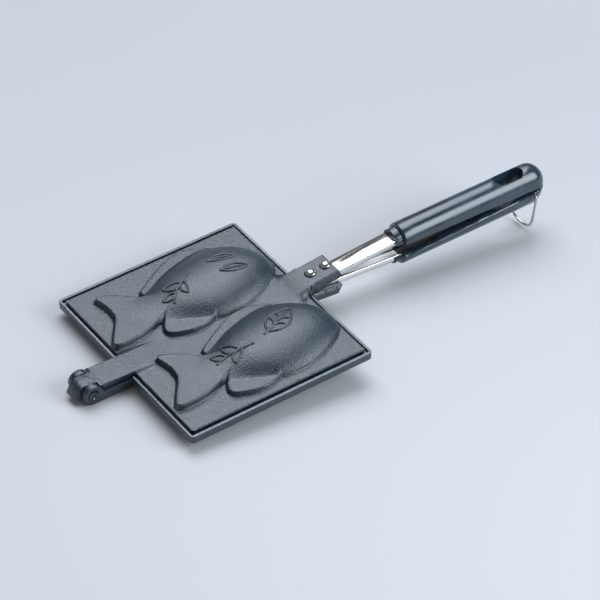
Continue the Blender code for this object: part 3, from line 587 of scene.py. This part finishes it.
def squareToRound(x, y, half, radius):
    outX = np.abs(x) - (half[0] - radius)
    outY = np.abs(y) - (half[1] - radius)
    corner = (outX > 0) & (outY > 0)
    reach = np.hypot(outX, outY)
    share = np.where(corner, np.maximum(outX, outY) / np.maximum(reach, 1e-9), 1)
    roundX = np.where(corner, np.sign(x) * (half[0] - radius + outX * share), x)
    roundY = np.where(corner, np.sign(y) * (half[1] - radius + outY * share), y)
    return roundX, roundY


def gridCounts(stops, step):
    parts = [max(round((b - a) / step), 1) for a, b in zip(stops, stops[1:])]
    return np.concatenate([[0], np.cumsum(parts)])


# A sheet of fine squares, cut to the plan, pulled up into a slab, then moved to its heights
def castingSheet(name, half, hingeTip, base, extra, low, cornerRadius):
    size = casting
    step = size["gridStep"]
    tongue = size["tongueHalf"]
    stopsX = [hingeTip, -half[0], half[0], pan["plateEnd"], size["grooveStart"],
              size["grooveStart"] + step / 2, size["tongueEnd"]]
    if hingeTip > -half[0]:
        stopsX = stopsX[1:]
    groove = size["grooveHalf"]
    stopsY = [-half[1], -tongue, -groove - step / 2, -groove, groove, groove + step / 2, tongue, half[1]]
    countsX, countsY = gridCounts(stopsX, step), gridCounts(stopsY, step)
    bpy.ops.object.select_all(action="DESELECT")
    bpy.ops.mesh.primitive_grid_add(x_subdivisions=int(countsX[-1]), y_subdivisions=int(countsY[-1]),
                                    size=1, location=(0, 0, 0))
    sheet = bpy.context.object
    sheet.name = name
    points = pointsOf(sheet)
    x = np.interp((points[:, 0] + 0.5) * countsX[-1], countsX, stopsX)
    y = np.interp((points[:, 1] + 0.5) * countsY[-1], countsY, stopsY)
    putPoints(sheet, np.stack([x, y, points[:, 2] * 0], axis=1))
    centres = np.empty(len(sheet.data.polygons) * 3)
    sheet.data.polygons.foreach_get("center", centres)
    centres = centres.reshape(-1, 3)
    outside = (np.abs(centres[:, 1]) > tongue) & ((centres[:, 0] > half[0]) | (centres[:, 0] < -half[0]))
    sheet.data.polygons.foreach_set("select", outside)
    sheet.data.update()
    onlySelect(sheet)
    bpy.context.tool_settings.mesh_select_mode = (False, False, True)
    bpy.ops.object.mode_set(mode="EDIT")
    bpy.ops.mesh.delete(type="FACE")
    bpy.ops.object.mode_set(mode="OBJECT")
    # An extrusion would order its faces differently on each run, and the thinning would follow
    applyModifier(sheet, "SOLIDIFY", thickness=1, offset=1)
    points = pointsOf(sheet)
    upper = points[:, 2] > 0.5
    x, y = squareToRound(points[:, 0], points[:, 1], half, cornerRadius)
    flareHalf, flareEnd = size["tongueFlare"]
    onTongue = (x > half[0] - step / 2) & (np.abs(y) <= tongue + step / 4)
    widen = np.interp(x, (half[0], pan["plateEnd"], flareEnd), (flareHalf, flareHalf, tongue)) / tongue
    y = np.where(onTongue & (np.abs(y) > groove + step), y * widen, y)
    onHinge = (x < -half[0] - step / 4) & (np.abs(y) > tongue - step / 4)
    y = np.where(onHinge, np.sign(y) * size["hingeHalf"], y)
    top = outerHeight(x, y, base, extra)
    tops, hingeHalf = hingeRamp["tops"], size["hingeHalf"]
    if extra:
        tops, hingeHalf = hingeRamp["lowerTops"], hingeRamp["lowerHalf"]
    hingeTop = hingeHeight(x, y, tops, hingeHalf)
    top = np.where(x < 0, softMax(top, hingeTop, hingeRamp["blend"]), top)
    top = np.where(x < -half[0] - step / 4, np.interp(x, *np.array(sorted(tops)).T), top)
    # Rounded outer edges
    fromEdge = np.minimum(half[0] - np.abs(x), half[1] - np.abs(y))
    free = np.abs(y) > tongue + size["freeEdge"]
    fromEdge = np.where(np.abs(x) > half[0] - step / 4, np.where(free, 0, 1), fromEdge)
    fromEdge = np.where(free, fromEdge, np.where(np.abs(x) > half[0], 1, half[1] - np.abs(y)))
    if cornerRadius:
        drop = size["edgeRound"]
        near = np.clip(1 - fromEdge / drop, 0, 1)
        top = top - drop * (1 - np.sqrt(1 - near ** 2))
    sideways = np.where(x > half[0], tongue * widen, size["hingeHalf"]) - np.abs(y)
    tongueEdge = np.clip(1 - sideways / ramp["edge"], 0, 1) * (np.abs(x) > half[0] + step / 4)
    edgeDrop = ramp["edge"] * (1 - np.sqrt(1 - tongueEdge ** 2))
    top = top - edgeDrop * (np.abs(y) <= tongue * size["tongueReach"])
    bottom = hollowHeight(x, y, low)
    share = np.clip((x - pan["plateEnd"]) / (size["tongueEnd"] - pan["plateEnd"]), 0, 1)
    under = ramp["rootGap"] + share * (ramp["tipGap"] - ramp["rootGap"])
    bottom = np.where(x > half[0], under, bottom)
    strapTop = size["strapBase"] + (x - size["strapStart"]) * size["strapRise"] + size["strapGap"]
    inGroove = (x > size["grooveStart"] + step / 4) & (np.abs(y) <= groove + step / 8)
    bottom = np.where(inGroove, strapTop, bottom)
    bottom = np.where(x < -half[0], low + size["hingeUnder"], bottom)
    # The tongue's end leans back, and the hinge tongue's end leans with the ear's round
    slant = np.where(x > pan["plateEnd"], share * size["tongueSlant"], 0)
    tip = np.clip((x + half[0]) / (hingeTip + half[0] - 1e-9), 0, 1) if hingeTip < -half[0] else 0 * x
    slantHinge = tip * (size["hingeTip"][1] - size["hingeTip"][0]) * (x < -half[0])
    x = np.where(upper, x - slant, x + slantHinge)
    putPoints(sheet, np.stack([x, y, np.where(upper, top, bottom)], axis=1))
    editAll(sheet)
    bpy.ops.mesh.normals_make_consistent(inside=False)
    bpy.ops.object.mode_set(mode="OBJECT")
    return sheet


def flipOver(obj):
    putPoints(obj, pointsOf(obj) * (1, 1, -1))
    editAll(obj)
    bpy.ops.mesh.flip_normals()
    bpy.ops.object.mode_set(mode="OBJECT")
    return obj


def level(obj):
    obj.data.transform(panPlace.inverted())
    return obj


# Keeps what lies on the hinge's side of a plane across X
def keepHingeSide(obj, x):
    editAll(obj)
    bpy.ops.mesh.bisect(plane_co=(x, 0, 0), plane_no=(1, 0, 0), use_fill=True, clear_outer=True,
                        clear_inner=False)
    bpy.ops.mesh.normals_make_consistent(inside=False)
    bpy.ops.object.mode_set(mode="OBJECT")
    return obj


def makeUpperCasting():
    size = casting
    sheet = castingSheet("upperSheet", size["upperHalf"], size["hingeTip"][0], size["upperTop"], 0,
                         size["upperLow"], size["cornerRadius"])
    applyModifier(sheet, "DECIMATE", ratio=size["keptFaces"])
    lug = keepHingeSide(level(copyOfNode("lug", "upper_plate")), size["lugPlane"])
    bevelEdges(lug, size["endRound"])
    whole = joinPieces(sheet, [lug])
    whole.data.transform(panPlace)
    return setDown(whole, "upperCasting", "upper_half", coating, ["upper_plate"], 50)


def makeLowerCasting():
    size = casting
    sheet = castingSheet("lowerSheet", size["lowerHalf"], 0, size["lowerDepth"], fishLook["lowerExtra"],
                         -size["lowerFloor"], 0)
    applyModifier(sheet, "DECIMATE", ratio=size["keptFaces"])
    flipOver(sheet)
    ring = makeRim()
    arms = keepHingeSide(level(copyOfNode("arms", "lower_plate")), size["armsPlane"])
    bevelEdges(arms, size["endRound"])
    whole = joinPieces(sheet, [ring, arms])
    whole.data.transform(panPlace)
    points = pointsOf(whole)
    points[:, 2] = np.maximum(points[:, 2], size["floorGap"])
    putPoints(whole, points)
    return setDown(whole, "lowerCasting", "lower_half", coating, ["lower_plate"], 50)


rim = {
    "wall": 0.0019,
    "corner": 0.003,
    "topRound": 0.0004,
    "handleGate": 0.0121,
    "hingeGate": 0.0100,
    # Depth below the rim's top, and strength, of the painted highlight along its top edge
    "highlightDepth": 0.0002,
    "highlightShare": 0.25,
}


def makeRim():
    low, high = -casting["lowerDepth"], pan["rimTop"]
    bpy.ops.object.select_all(action="DESELECT")
    bpy.ops.mesh.primitive_cylinder_add(vertices=64, radius=1, depth=high - low,
                                        location=(0, 0, (low + high) / 2))
    bpy.ops.object.transform_apply(location=True, rotation=True, scale=True)
    ring = bpy.context.object
    points = pointsOf(ring)
    turn = np.arctan2(points[:, 1], points[:, 0])
    for axis, unit, reach in ((0, np.cos(turn), pan["plateEnd"]), (1, np.sin(turn), pan["plateSide"])):
        points[:, axis] = np.sign(unit) * (reach - rim["corner"]) + rim["corner"] * unit
    putPoints(ring, points)
    mergeAndFace(ring)
    cutAway(ring, cutBox((rim["wall"] - pan["plateEnd"], rim["wall"] - pan["plateSide"], low * 2),
                         (pan["plateEnd"] - rim["wall"], pan["plateSide"] - rim["wall"], high * 4)))
    gateLow = casting["lowerFloor"]
    cutAway(ring, cutBox((pan["plateEnd"] - rim["wall"] * 2, -rim["handleGate"], gateLow),
                         (pan["plateEnd"] + rim["wall"], rim["handleGate"], high * 4)))
    cutAway(ring, cutBox((-pan["plateEnd"] - rim["wall"], -rim["hingeGate"], gateLow),
                         (-pan["plateEnd"] + rim["wall"] * 2, rim["hingeGate"], high * 4)))
    mergeAndFace(ring)
    bevelEdges(ring, rim["topRound"], 3, 50)
    # Marks the rim's top edge for the painted highlight, fading out just below the top
    heights = pointsOf(ring)[:, 2]
    wearAndSheen = ring.data.attributes.new("wearAndSheen", "FLOAT", "POINT")
    wearAndSheen.data.foreach_set("value", np.clip(1 - (high - heights) / rim["highlightDepth"], 0, 1) * rim["highlightShare"])
    return ring


makeUpperCasting()
print("upper casting made")
makeLowerCasting()
print("lower casting made")


# Raised leaf lines on the upper half's fish
leaves = {
    "radius": 0.0009,
    # Centre X and Y on the level plate, turn in degrees, half length, and which drawing
    "spots": ((0.0285, -0.0310, 24, 0.0130, "broadLeaf"), (-0.0095, -0.0365, 160, 0.0125, "sprig"),
              (0.0325, 0.0340, -20, 0.0120, "twoLeaves"), (-0.0045, 0.0335, 200, 0.0125, "sprig")),
    "broadLeaf": (
        ((-1.00, 0.00), (-0.62, 0.40), (-0.05, 0.58), (0.55, 0.36), (1.00, 0.00), (0.55, -0.36),
         (-0.05, -0.58), (-0.62, -0.40), (-1.00, 0.00)),
        ((-1.25, 0.05), (-0.60, -0.03), (0.10, 0.02), (0.78, 0.00)),
        ((-0.45, 0.00), (-0.25, 0.18), (-0.12, 0.42)), ((0.02, 0.02), (0.20, 0.17), (0.36, 0.36)),
        ((-0.45, 0.00), (-0.22, -0.20), (-0.12, -0.42)), ((0.02, 0.00), (0.22, -0.18), (0.36, -0.34)),
    ),
    "twoLeaves": (
        ((-0.95, 0.30), (-0.55, 0.62), (0.05, 0.66), (0.60, 0.42), (0.10, 0.28), (-0.45, 0.22),
         (-0.95, 0.30)),
        ((-0.80, 0.36), (-0.30, 0.44), (0.30, 0.44)),
        ((-0.50, -0.62), (-0.05, -0.30), (0.50, -0.22), (1.00, -0.40), (0.55, -0.66), (0.00, -0.74),
         (-0.50, -0.62)),
        ((-0.35, -0.58), (0.20, -0.48), (0.75, -0.43)),
    ),
    "sprig": (
        ((-1.10, -0.20), (-0.40, -0.05), (0.30, 0.10), (0.95, 0.45)),
        ((-0.45, -0.05), (-0.30, 0.32), (0.05, 0.66), (0.12, 0.30), (-0.08, 0.05), (-0.45, -0.05)),
        ((-0.30, -0.05), (0.00, -0.42), (0.50, -0.60), (0.46, -0.24), (0.16, 0.02), (-0.30, -0.05)),
        ((0.40, 0.14), (0.72, -0.12), (1.15, -0.10), (0.98, 0.16), (0.72, 0.24), (0.40, 0.14)),
    ),
}


def makeLeaves():
    lines = bpy.data.curves.new("leafLines", "CURVE")
    lines.dimensions = "3D"
    lines.bevel_depth = leaves["radius"]
    lines.bevel_resolution = 2
    lines.use_fill_caps = True
    for centreX, centreY, turn, half, drawing in leaves["spots"]:
        cos, sin = math.cos(math.radians(turn)), math.sin(math.radians(turn))
        for stroke in leaves[drawing]:
            points = smoothRows(stroke, 6) * half
            x = centreX + points[:, 0] * cos - points[:, 1] * sin
            y = centreY + points[:, 0] * sin + points[:, 1] * cos
            z = outerHeight(x, y, casting["upperTop"], 0)
            line = lines.splines.new("POLY")
            line.points.add(len(x) - 1)
            line.points.foreach_set("co", np.stack([x, y, z, x * 0 + 1], axis=1).ravel())
    drawn = bpy.data.objects.new("leafLines", lines)
    bpy.context.scene.collection.objects.link(drawn)
    onlySelect(drawn)
    bpy.ops.object.convert(target="MESH")
    drawn = bpy.context.object
    mergeAndFace(drawn, 0.00001)
    drawn.data.transform(panPlace)
    return setDown(drawn, "leafReliefs", "upper_half", coating, (), 60)


makeLeaves()
print("leaf reliefs made")


# Grips: lofted rings, joined to a collar, cut for the strap and the hanging slot
grip = {
    "front": 0.143,
    "rear": 0.2624,
    "halfWidth": 0.0104,
    "halfHeight": 0.0151,
    "squareness": 2.3,
    "innerGap": (0.0042, 0.0005),
    "edge": 0.0010,
    "noseRound": 0.0016,
    "tailRound": 0.0120,
    "tailTurn": 77,
    "arcSteps": 40,
    "noseSteps": 7,
    "bodySteps": 14,
    "tailSteps": 12,
    "collarLength": 0.005,
    "collarHalf": (0.0086, 0.0127),
    "collarSetback": 0.0003,
    "grooveTop": 0.00885,
    "grooveHalf": 0.00635,
    "grooveEnd": 0.213,
    "slot": (0.2225, 0.2455),
    "slotHalf": 0.0059,
    "edgeRound": 0.0008,
    "latchX": 0.250,
    "latchZ": 0.0030,
    "latchBore": 0.00115,
    "latchDepth": 0.0048,
}


def gripRing(x, halfWidth, halfHeight, setback):
    share = (x - grip["front"]) / (grip["rear"] - grip["front"])
    low = grip["innerGap"][0] + share * (grip["innerGap"][1] - grip["innerGap"][0]) + setback
    power = 2 / grip["squareness"]
    start = math.asin(min(((low + grip["edge"]) / halfHeight) ** (1 / power), 0.9))
    turns = np.linspace(start, math.pi - start, grip["arcSteps"] + 1)
    y = halfWidth * np.sign(np.cos(turns)) * np.abs(np.cos(turns)) ** power
    z = halfHeight * np.sin(turns) ** power
    edge = min(grip["edge"], abs(y[0]) / 2)
    y = np.concatenate([[y[0] - edge], y, [y[-1] + edge, y[0] - edge]])
    z = np.concatenate([[low], z, [low, low]])
    return np.stack([np.full(len(y), x), y, z], axis=1)


def loftRings(name, rings):
    rings = np.array(rings)
    rows, columns = rings.shape[:2]
    bpy.ops.object.select_all(action="DESELECT")
    bpy.ops.mesh.primitive_grid_add(x_subdivisions=columns - 1, y_subdivisions=rows - 1, size=1)
    tube = bpy.context.object
    tube.name = name
    points = pointsOf(tube)
    column = np.round((points[:, 0] + 0.5) * (columns - 1)).astype(int)
    row = np.round((points[:, 1] + 0.5) * (rows - 1)).astype(int)
    putPoints(tube, rings[row, column])
    mergeAndFace(tube)
    editAll(tube)
    bpy.ops.mesh.fill_holes(sides=columns * 2)
    bpy.ops.mesh.select_all(action="SELECT")
    bpy.ops.mesh.normals_make_consistent(inside=False)
    bpy.ops.object.mode_set(mode="OBJECT")
    return tube


def slotCutter(low, high, half, depth):
    bpy.ops.object.select_all(action="DESELECT")
    bpy.ops.mesh.primitive_cylinder_add(vertices=48, radius=half, depth=depth, location=(0, 0, 0))
    cutter = bpy.context.object
    points = pointsOf(cutter)
    points[:, 0] += np.where(points[:, 0] > 0, high - half, low + half)
    putPoints(cutter, points)
    return cutter


def boreCutter(x, y, z, radius, length):
    bpy.ops.object.select_all(action="DESELECT")
    bpy.ops.mesh.primitive_cylinder_add(vertices=24, radius=radius, depth=length, location=(x, y, z),
                                        rotation=(math.pi / 2, 0, 0))
    bpy.ops.object.transform_apply(location=True, rotation=True, scale=True)
    return bpy.context.object


def makeGrip(half):
    front, rear = grip["front"], grip["rear"]
    wide, tall, nose, tail = grip["halfWidth"], grip["halfHeight"], grip["noseRound"], grip["tailRound"]
    rings = []
    for turn in np.radians(np.linspace(90, 0, grip["noseSteps"])):
        inset = nose * (1 - math.cos(turn))
        rings.append(gripRing(front + nose * (1 - math.sin(turn)), wide - inset, tall - inset, 0))
    rings += [gripRing(x, wide, tall, 0)
              for x in np.linspace(front + nose, rear - tail, grip["bodySteps"])[1:]]
    for turn in np.radians(np.linspace(0, grip["tailTurn"], grip["tailSteps"])[1:]):
        cos = math.cos(turn)
        rings.append(gripRing(rear - tail + tail * math.sin(turn), wide * cos, tall * cos, 0))
    piece = loftRings(half + "Grip", rings)
    reach = grip["collarLength"]
    collar = loftRings("collar", [gripRing(x, *grip["collarHalf"], grip["collarSetback"])
                                  for x in (front - reach, front + reach)])
    applyModifier(piece, "BOOLEAN", operation="UNION", solver="EXACT", object=collar)
    bpy.data.objects.remove(collar)
    cutAway(piece, cutBox((front - reach * 2, -grip["grooveHalf"], -tall),
                          (grip["grooveEnd"], grip["grooveHalf"], grip["grooveTop"])))
    cutAway(piece, slotCutter(*grip["slot"], grip["slotHalf"], tall * 4))
    if half == "lower":
        for side in (-1, 1):
            y = side * (wide - grip["latchDepth"] / 2 + reach / 2)
            cutAway(piece, boreCutter(grip["latchX"], y, grip["latchZ"], grip["latchBore"],
                                      grip["latchDepth"] + reach))
    mergeAndFace(piece)
    bevelEdges(piece, grip["edgeRound"], 3, 50)
    applyModifier(piece, "WEIGHTED_NORMAL", keep_sharp=False)
    if half == "lower":
        flipOver(piece)
    piece.data.transform(panPlace)
    return setDown(piece, half + "Grip", half + "_half", phenolic, [half + "_grip"], 40)


for half in ("upper", "lower"):
    makeGrip(half)
print("grips made")


# Pieces whose solids already have their shape: a merged copy, smooth where it is round
def softCopy(name, node, body, material, degrees=35):
    return setDown(copyOfNode(name, node), name, body, material, [node], degrees)


# How much painted shade the channel's inside faces get, in the open and within the grip
strapMarks = {"insideHalf": 0.0052, "facing": 0.5, "openShade": 0.6, "gripShade": 1.0}


# The folded channel's inside faces get painted shade, darker still where they run in the grip
def makeStrap(half):
    strap = softCopy(half + "Strap", half + "_strap", half + "_half", strapChrome)
    toLevel = panPlace.inverted()
    outward = 1 if half == "upper" else -1
    marks = []
    for face in strap.data.polygons:
        centre = toLevel @ face.center
        facing = (toLevel.to_3x3() @ face.normal).z * outward
        inside = facing < -strapMarks["facing"] or abs(centre.y) < strapMarks["insideHalf"]
        mark = strapMarks["gripShade" if centre.x > grip["front"] else "openShade"]
        marks += [mark if inside and facing <= strapMarks["facing"] else 0.0] * face.loop_total
    paintedShade = strap.data.attributes.new("paintedShade", "FLOAT", "CORNER")
    paintedShade.data.foreach_set("value", marks)


for half in ("upper", "lower"):
    makeStrap(half)
    softCopy(half + "InnerRivet", half + "_inner_rivet", half + "_half", rivetChrome, 40)
    softCopy(half + "OuterRivet", half + "_outer_rivet", half + "_half", rivetChrome, 40)
    softCopy(half + "GripScrew", half + "_grip_screw", half + "_half", wireSteel)
softCopy("hingePin", "hinge_pin", "lower_half", pinSteel)
softCopy("latchWire", "latch_wire", "latch", wireSteel, 60)
print("straps, rivets, pin and latch made")


# Stage
stage = {
    "floorSize": 8,
    # Painted light on the floor: lighter towards the front and left, darker towards the back and right,
    # evening out how the lamps fall
    "litFrontColour": (0.655, 0.655, 0.672, 1),
    "shadedBackColour": (0.485, 0.495, 0.505, 1),
    "gradient": (-0.55, 0.55),
    "sideShare": 0.95,
    "floorRoughness": 0.8,
    "floorSpecular": 0.2,
    "worldColour": (0.88, 0.93, 1.0, 1),
    "worldStrength": 0.30,
    "glossyStrength": 0.15,
}


def makeStage():
    bpy.ops.object.select_all(action="DESELECT")
    bpy.ops.mesh.primitive_plane_add(size=stage["floorSize"], location=(0, 0, 0))
    floor = bpy.context.object
    floor.name = "floor"
    material = bpy.data.materials.new("paleFloor")
    material.use_nodes = True
    shader = material.node_tree.nodes["Principled BSDF"]
    start = Val(material.node_tree, None)
    place = start.node("ShaderNodeTexCoord", output=3)
    side = place.node("ShaderNodeSeparateXYZ", {}, {0: place}, 0)
    depth = place.node("ShaderNodeSeparateXYZ", {}, {0: place}, 1)
    # Painted light: the floor's colour runs from light at the front and left to darker at the back and right
    share = (side * stage["sideShare"] + depth).step(*stage["gradient"])
    paintedFloorLight = share.blend(stage["litFrontColour"], stage["shadedBackColour"])
    material.node_tree.links.new(paintedFloorLight.socket, shader.inputs["Base Color"])
    shader.inputs["Roughness"].default_value = stage["floorRoughness"]
    shader.inputs["Specular IOR Level"].default_value = stage["floorSpecular"]
    floor.data.materials.append(material)
    world = bpy.data.worlds.new("studio")
    bpy.context.scene.world = world
    world.use_nodes = True
    background = world.node_tree.nodes["Background"]
    background.inputs["Color"].default_value = stage["worldColour"]
    rays = Val(world.node_tree, None).node("ShaderNodeLightPath", output="Is Glossy Ray")
    strength = rays * (stage["glossyStrength"] - stage["worldStrength"]) + stage["worldStrength"]
    world.node_tree.links.new(strength.socket, background.inputs["Strength"])


lamps = (
    # Name, place, size, power, colour
    ("backSoftbox", (0.32, 0.74, 1.43), (1.4, 1.35), 27, (0.85, 0.915, 1.0)),
    ("frontSoftbox", (0.84, -0.98, 0.78), (0.95, 0.9), 17, (0.84, 0.92, 1.0)),
)


def makeLamps():
    for name, place, size, power, colour in lamps:
        light = bpy.data.lights.new(name, "AREA")
        light.shape = "RECTANGLE"
        light.size, light.size_y = size
        light.energy = power
        light.color = colour
        lamp = bpy.data.objects.new(name, light)
        bpy.context.scene.collection.objects.link(lamp)
        lamp.location = place
        lamp.rotation_euler = (-Vector(place)).to_track_quat("-Z", "Y").to_euler()


# The camera's place was worked out over the level pan, from the middle of the rim's top
cameraView = {
    "azimuth": -35.03,
    "elevation": 41.30,
    "distance": 1.8919,
    "shiftRight": -0.05433,
    "shiftUp": -0.01628,
    "lens": 180,
}


def makeCamera():
    a, e = math.radians(cameraView["azimuth"]), math.radians(cameraView["elevation"])
    back = Vector((math.sin(a) * math.cos(e), -math.cos(a) * math.cos(e), math.sin(e)))
    right = Vector((math.cos(a), math.sin(a), 0))
    up = back.cross(right)
    spot = back * cameraView["distance"] - right * cameraView["shiftRight"] - up * cameraView["shiftUp"]
    spot.z += pan["rimTop"]
    data = bpy.data.cameras.new("camera")
    data.lens = cameraView["lens"]
    data.sensor_width = 36
    data.clip_start, data.clip_end = 0.05, 20
    camera = bpy.data.objects.new("camera", data)
    bpy.context.scene.collection.objects.link(camera)
    turned = Matrix((right, up, back)).transposed().to_4x4()
    camera.matrix_world = panPlace @ (Matrix.Translation(spot) @ turned)
    bpy.context.scene.camera = camera


makeStage()
makeLamps()
makeCamera()
bpy.context.scene.view_settings.view_transform = "Standard"
print("stage, lamps and camera set")

bpy.context.view_layer.update()
